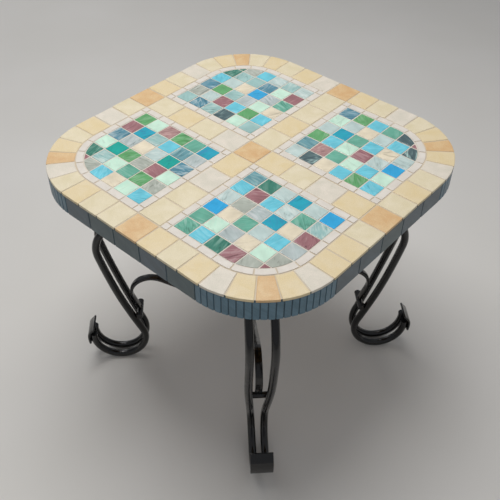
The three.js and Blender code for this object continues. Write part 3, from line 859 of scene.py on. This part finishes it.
# %% Bend the rods
FOOT_SPREAD, TOP_SPREAD, SPREAD_HEIGHT = 10.5 * MM, 18.5 * MM, 200 * MM


def eased(value, low, high):
    """Nought below low, one above high, and a level start and end between them."""
    share = min(max((value - low) / (high - low), 0), 1)
    return share * share * (3 - 2 * share)


def rod_spread(height):
    """Half the distance between the two rods at that height."""
    return FOOT_SPREAD + (TOP_SPREAD - FOOT_SPREAD) * eased(height, ROD_RADIUS, SPREAD_HEIGHT)


def round_rod(name, points, radius):
    """A round bar along the points, as a mesh with softened ends."""
    bpy.ops.object.select_all(action="DESELECT")
    bpy.ops.curve.primitive_bezier_curve_add()
    rod = bpy.context.object
    rod.name = name
    line = rod.data
    line.splines.clear()
    path = line.splines.new("POLY")
    path.points.add(len(points) - 1)
    for station, place in zip(path.points, points):
        station.co = (*place, 1)
    line.dimensions = "3D"
    line.bevel_depth = radius
    line.bevel_resolution = 4
    line.use_fill_caps = True
    only(rod)
    bpy.ops.object.convert(target="MESH")
    rod = bpy.context.object
    bpy.ops.object.mode_set(mode="EDIT")
    bpy.ops.mesh.select_all(action="SELECT")
    bpy.ops.mesh.remove_doubles(threshold=MM / 100)
    bpy.ops.mesh.normals_make_consistent(inside=False)
    select_edges(rod, lambda edge: any(len(face.verts) > 4 for face in edge.link_faces))
    bpy.ops.mesh.bevel(offset=1.2 * MM, segments=3, affect="EDGES")
    bpy.ops.object.mode_set(mode="OBJECT")
    dress(rod, iron_finish, 40)
    return rod


def corner_copy(pattern, name, degrees):
    """A copy with its own mesh, turned about the table's upright axis."""
    copy = pattern.copy()
    copy.data = pattern.data.copy()
    copy.name = copy.data.name = name
    bpy.context.scene.collection.objects.link(copy)
    copy.data.transform(Matrix.Rotation(math.radians(degrees), 4, "Z"))
    return copy


def copy_to_corners(pattern, name, node):
    """Four copies of a piece made along the x axis; the pattern itself is then put away."""
    for corner, degrees in LEG_TURNS.items():
        copy = corner_copy(pattern, name.format(corner), degrees)
        keep(copy, node.format(corner))
    bpy.data.objects.remove(pattern)


sole = min(range(len(leg_line)), key=lambda k: leg_line[k].y)
for hand, letter in ((1, "a"), (-1, "b")):
    spreads = [rod_spread(p.y if k < sole else ROD_RADIUS) for k, p in enumerate(leg_line)]
    stations = [(p.x, hand * spread, p.y) for p, spread in zip(leg_line, spreads)]
    rod = round_rod("rod", stations, ROD_RADIUS)
    copy_to_corners(rod, "rod_{}_" + letter, "leg_rod_{}_" + letter)
made = bpy.data.objects["rod_back_right_a"]
low = Vector([min(v.co[k] for v in made.data.vertices) for k in range(3)])
high = Vector([max(v.co[k] for v in made.data.vertices) for k in range(3)])
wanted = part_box("leg_rod_back_right_a")
off = (*(low - wanted[0]), *(high - wanted[1]))
print("rod box differs by mm", [round(d / MM, 2) for d in off])

# %% [markdown]
# ## Crossbars, scroll plates and stretcher
# A short round bar behind the shanks joins the two rods of each leg. A curved plate is welded
# over the two tips of the foot scroll. Between the legs runs a flat bar, bent the easy way, that
# springs from each crossbar, arches over and sags to the middle. The flat pieces are drawn as
# outlines in the upright plane and extruded sideways, then their sharp edges are eased. Past the
# rods' tips the scroll plate runs on a little and is curled inward.

# %% Forge the bars
FIT_GAP = 0.3 * MM


def upright_bar(name, outline, half_width, edge):
    """A flat bar: an outline in the upright plane, extruded across it, with eased edges."""
    bar = start_outline([(p[0], p[1]) for p in outline], 0)
    bar.name = name
    bpy.ops.object.mode_set(mode="EDIT")
    raise_up(2 * half_width)
    select_edges(bar, lambda line: line.calc_face_angle(0) > math.radians(50))
    bpy.ops.mesh.bevel(offset=edge, segments=3, affect="EDGES")
    bpy.ops.object.mode_set(mode="OBJECT")
    upright = Matrix.Rotation(math.radians(90), 4, "X")
    bar.data.transform(upright @ Matrix.Translation((0, 0, -half_width)))
    dress(bar, iron_finish, 35)
    return bar


bar_low, bar_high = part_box("leg_crossbar_back_right")
bar_radius = (bar_high.z - bar_low.z) / 2
seat = Vector(((bar_low.x + bar_high.x) / 2 * math.sqrt(2), (bar_low.z + bar_high.z) / 2))
bar_half = (bar_high.x - bar_low.x) / math.sqrt(2) - bar_radius
bar_stations = [(seat.x, -bar_half + 2 * bar_half * k / 6, seat.y) for k in range(7)]
crossbar = round_rod("crossbar", bar_stations, bar_radius)
copy_to_corners(crossbar, "crossbar_{}", "leg_crossbar_{}")

PLATE_THICK, PLATE_CURL = 3.5 * MM, 6 * MM
plate_inside, plate_outside = [], []
PLATE_LOW, PLATE_HIGH, PLATE_STEPS = math.radians(-12), math.radians(29), 20
for k in range(PLATE_STEPS + 1):
    turn = PLATE_LOW + (PLATE_HIGH - PLATE_LOW) * k / PLATE_STEPS
    offset = ROD_RADIUS + FIT_GAP - PLATE_CURL * eased(turn, TIP_TURN, PLATE_HIGH)
    plate_inside.append(foot_point(turn, offset))
    plate_outside.append(foot_point(turn, offset + PLATE_THICK))
plate_outline = plate_inside + plate_outside[::-1]
plate_half = rod_spread(ROD_RADIUS) + ROD_RADIUS + 1.5 * MM
plate = upright_bar("plate", plate_outline, plate_half, 0.9 * MM)
copy_to_corners(plate, "scroll_cap_{}", "scroll_plate_{}")
print("crossbar", round(2 * bar_half / MM, 1), "mm long")
print("scroll plate", round(2 * plate_half / MM, 1), "mm wide")

# %% [markdown]
# ## The stretcher
# The stretcher's line is again a chain of bends: a lean away from the crossbar, an arch, a
# straight descent, and a wide sag at the middle. One bar crosses from corner to corner.
# The other diagonal is two half bars that are welded to its sides.

# %% Forge the stretcher
ARCH_BEND, SAG_BEND = 36 * MM, 120 * MM
LEAN, DESCENT = math.radians(20), math.radians(31)
RISE, FLAT_THICK, FLAT_WIDE = 27 * MM, 5 * MM, 12 * MM
spring = Vector((seat.x, seat.y + bar_radius + FIT_GAP))
lean_top = spring + Vector((math.sin(LEAN), math.cos(LEAN))) * RISE
arch_middle = lean_top + Vector((-math.cos(LEAN), math.sin(LEAN))) * ARCH_BEND
arch = bend(arch_middle, ARCH_BEND, -LEAN, math.pi / 2 + DESCENT, 36)
sag_x = SAG_BEND * math.sin(DESCENT)
sag_y = arch[-1].y - (arch[-1].x - sag_x) * math.tan(DESCENT) + SAG_BEND * math.cos(DESCENT)
sag = bend((0, sag_y), SAG_BEND, DESCENT - math.pi / 2, -math.pi / 2, 16)
stretcher_line = [spring, *arch, *sag]


def thickened(line, start_along, end_along):
    """The outline of a flat bar along the line, with both ends cut square to a direction."""
    near, far = [], []
    for k, p in enumerate(line):
        along = start_along if k == 0 else end_along
        if 0 < k < len(line) - 1:
            along = (line[k + 1] - line[k - 1]).normalized()
        side = Vector((-along.y, along.x)) * FLAT_THICK / 2
        near.append(p + side)
        far.append(p - side)
    return near + far[::-1]


up, down, inward = Vector((0, 1)), Vector((0, -1)), Vector((-1, 0))
through = stretcher_line + [Vector((-p.x, p.y)) for p in reversed(stretcher_line[:-1])]
through_bar = upright_bar("through", thickened(through, up, down), FLAT_WIDE / 2, 0.8 * MM)
keep(corner_copy(through_bar, "stretcher_through", 45), "stretcher_through_bar")
bpy.data.objects.remove(through_bar)
half_end = FLAT_WIDE / 2 + FIT_GAP
half_line = [p for p in stretcher_line[:-1] if p.x > half_end]
half_line.append(Vector((half_end, stretcher_line[-1].y)))
half_bar = upright_bar("half", thickened(half_line, up, inward), FLAT_WIDE / 2, 0.8 * MM)
for corner in ("back_left", "front_right"):
    keep(corner_copy(half_bar, f"stretcher_half_{corner}", LEG_TURNS[corner]),
         f"stretcher_half_bar_{corner}")
bpy.data.objects.remove(half_bar)
print("stretcher lowest", round(min(p.y for p in stretcher_line) / MM, 1), "mm")

# %% [markdown]
# ## Welds
# Where the irons of a leg meet, the welder leaves a bead. A bead is a small ball flattened and
# drawn along the joint, with a few lumps where the metal froze. No two beads are alike, so each
# of a leg's eight gets its own lumps. They are joined to one piece, and each leg has a copy of it.

# %% Run the welds
def weld_bead(places):
    """Beads at (place, half lengths) pairs, joined to one piece."""
    beads = []
    for place, size in places:
        bpy.ops.object.select_all(action="DESELECT")
        bpy.ops.mesh.primitive_ico_sphere_add(subdivisions=3, radius=1, location=(0, 0, 0))
        bead = bpy.context.object
        for corner in bead.data.vertices:
            lump = 1 + 0.14 * math.sin(9 * corner.co.y + 2.1 * corner.co.z)
            lump += random.uniform(-0.03, 0.03)
            corner.co = Vector(place) + Vector([c * s * lump for c, s in zip(corner.co, size)])
        beads.append(bead)
    only(beads[0])
    for bead in beads:
        bead.select_set(True)
    bpy.ops.object.join()
    bpy.ops.object.shade_smooth()
    dress(beads[0], iron_finish)
    return beads[0]


SHANK_BEAD = (2.4 * MM, 4.2 * MM, 2 * MM)
TIP_BEAD = (1.9 * MM, 4.2 * MM, 1.6 * MM)
SPRING_BEAD = (1.6 * MM, 5.4 * MM, 1.5 * MM)
shank_x = seat.x + bar_radius - 0.6 * MM
tip = foot_point(TIP_TURN, ROD_RADIUS)
weld_places = []
for hand in (1, -1):
    for rise in (-3.5 * MM, 3.5 * MM):
        weld_places.append(((shank_x, hand * rod_spread(seat.y), seat.y + rise), SHANK_BEAD))
    tip_place = (tip.x - 0.3 * MM, hand * rod_spread(ROD_RADIUS), tip.y - 0.5 * MM)
    weld_places.append((tip_place, TIP_BEAD))
for side in (-1, 1):
    weld_places.append(((spring.x + side * 2.6 * MM, 0, spring.y - 0.6 * MM), SPRING_BEAD))
welds = weld_bead(weld_places)
print(len(weld_places), "beads to a leg")
for corner, degrees in LEG_TURNS.items():
    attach(corner_copy(welds, f"welds_{corner}", degrees), "root")
bpy.data.objects.remove(welds)

# %% [markdown]
# ## Under the top
# The board and the iron cross plate keep their CAD shapes, because both are plain sawn and sheared
# stock that only needs its finish. The screw is made once: a cylinder whose head is bevelled to a
# pan, with a cross recess pressed in, and a shank that the board hides.

# %% Finish the underside
dress(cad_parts["tabletop_board"], board_finish)
dress(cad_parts["top_cross_plate"], iron_finish)
HEAD_HEIGHT, POINT_LENGTH, POINT_BLUNT = 2.6 * MM, 3.2 * MM, 0.2 * MM


def pan_head_screw(low, high, radius, head):
    """A screw standing on its head at the origin's upright axis."""
    bpy.ops.object.select_all(action="DESELECT")
    bpy.ops.mesh.primitive_cylinder_add(
        vertices=32, radius=head, depth=HEAD_HEIGHT, location=(0, 0, low + HEAD_HEIGHT / 2))
    screw = bpy.context.object
    bpy.ops.object.transform_apply(location=True)
    bpy.ops.object.mode_set(mode="EDIT")
    select_edges(screw, lambda edge: high_end(edge) < low + MM / 10)
    bpy.ops.mesh.bevel(offset=1.5 * MM, segments=4, affect="EDGES")
    face_at(screw, low + HEAD_HEIGHT)
    bpy.ops.mesh.inset(thickness=head - radius)
    shank = high - low - HEAD_HEIGHT - POINT_LENGTH
    bpy.ops.mesh.extrude_region_move(TRANSFORM_OT_translate={"value": (0, 0, shank - POINT_BLUNT)})
    bpy.ops.mesh.extrude_region_move(TRANSFORM_OT_translate={"value": (0, 0, POINT_LENGTH)})
    bpy.ops.transform.resize(value=(0.2, 0.2, 1))
    bpy.ops.object.mode_set(mode="OBJECT")
    arm, thin = 2.6 * MM, 0.5 * MM
    cross = start_outline([
        (arm, -thin), (arm, thin), (thin, thin), (thin, arm), (-thin, arm), (-thin, thin),
        (-arm, thin), (-arm, -thin), (-thin, -thin), (-thin, -arm), (thin, -arm), (thin, -thin),
    ], low - MM)
    bpy.ops.object.mode_set(mode="EDIT")
    raise_up(2.4 * MM)
    bpy.ops.object.mode_set(mode="OBJECT")
    recess = screw.modifiers.new("recess", "BOOLEAN")
    recess.operation = "DIFFERENCE"
    recess.object = cross
    recess.solver = "EXACT"
    only(screw)
    bpy.ops.object.modifier_apply(modifier="recess")
    bpy.data.objects.remove(cross)
    dress(screw, screw_finish, 35)
    return screw


screw_low, screw_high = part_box("plate_screw_1")
print("a screw is", round((screw_high.z - screw_low.z) / MM, 1), "mm long")
pattern = pan_head_screw(screw_low.z, screw_high.z, 2 * MM, (screw_high.x - screw_low.x) / 2)
for number in range(1, 9):
    low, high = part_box(f"plate_screw_{number}")
    copy = corner_copy(pattern, f"pan_screw_{number}", 17 * number)
    copy.data.transform(Matrix.Translation(((low.x + high.x) / 2, (low.y + high.y) / 2, 0)))
    keep(copy, f"plate_screw_{number}")
bpy.data.objects.remove(pattern)

# %% [markdown]
# ## Floor and light
# The table stands on a plain pale floor. A large soft box hangs over it, a little to the left,
# so the top is brightest and the faced edge falls into half shade. A weaker one fills the front
# corner. It is kept out of reflections, or glazed tiles would mirror it as a white patch. A
# smaller one on the left, towards the back, draws long highlights down the iron.

# %% Light the scene
bpy.ops.object.select_all(action="DESELECT")
bpy.ops.mesh.primitive_plane_add(size=40, location=(0, 0, cad_box[0].z))
floor = bpy.context.object
floor.name = "floor"
floor_finish, floor_tree, floor_shader = new_finish("pale_matt_floor", 0.8)
floor_cloud = noise(floor_tree, object_place(floor_tree), 3.0, 2.0)
floor_tone = ramp(floor_tree, floor_cloud, (0.3, "#D5D2CC"), (0.7, "#D9D6D1"))
surface(floor_tree, floor_shader, floor_tone)
floor.data.materials.append(floor_finish)


LIT_PLACE = Vector((0, 0, 0.25))


def soft_box(name, place, size, power):
    """A square light that faces the middle of the table."""
    light = bpy.data.lights.new(name, "AREA")
    light.shape = "SQUARE"
    light.size = size
    light.energy = power
    lamp = bpy.data.objects.new(name, light)
    lamp.location = place
    lamp.rotation_euler = (LIT_PLACE - Vector(place)).to_track_quat("-Z", "Y").to_euler()
    bpy.context.scene.collection.objects.link(lamp)
    return lamp


soft_box("key", (-0.3, 0.05, 1.9), 1.1, 21.5)
fill = soft_box("fill", (1.6, -1.3, 1.0), 0.8, 3.2)
fill.visible_glossy = False
soft_box("side", (-2.0, 0.8, 0.9), 0.7, 3)
bpy.context.scene.view_settings.view_transform = "Standard"
world = bpy.data.worlds.new("studio")
bpy.context.scene.world = world
world.use_nodes = True
sky = world.node_tree.nodes["Background"]
sky.inputs["Color"].default_value = (0.93, 0.95, 1.0, 1)
sky.inputs["Strength"].default_value = 0.3
print(len(bpy.data.lights), "soft boxes")
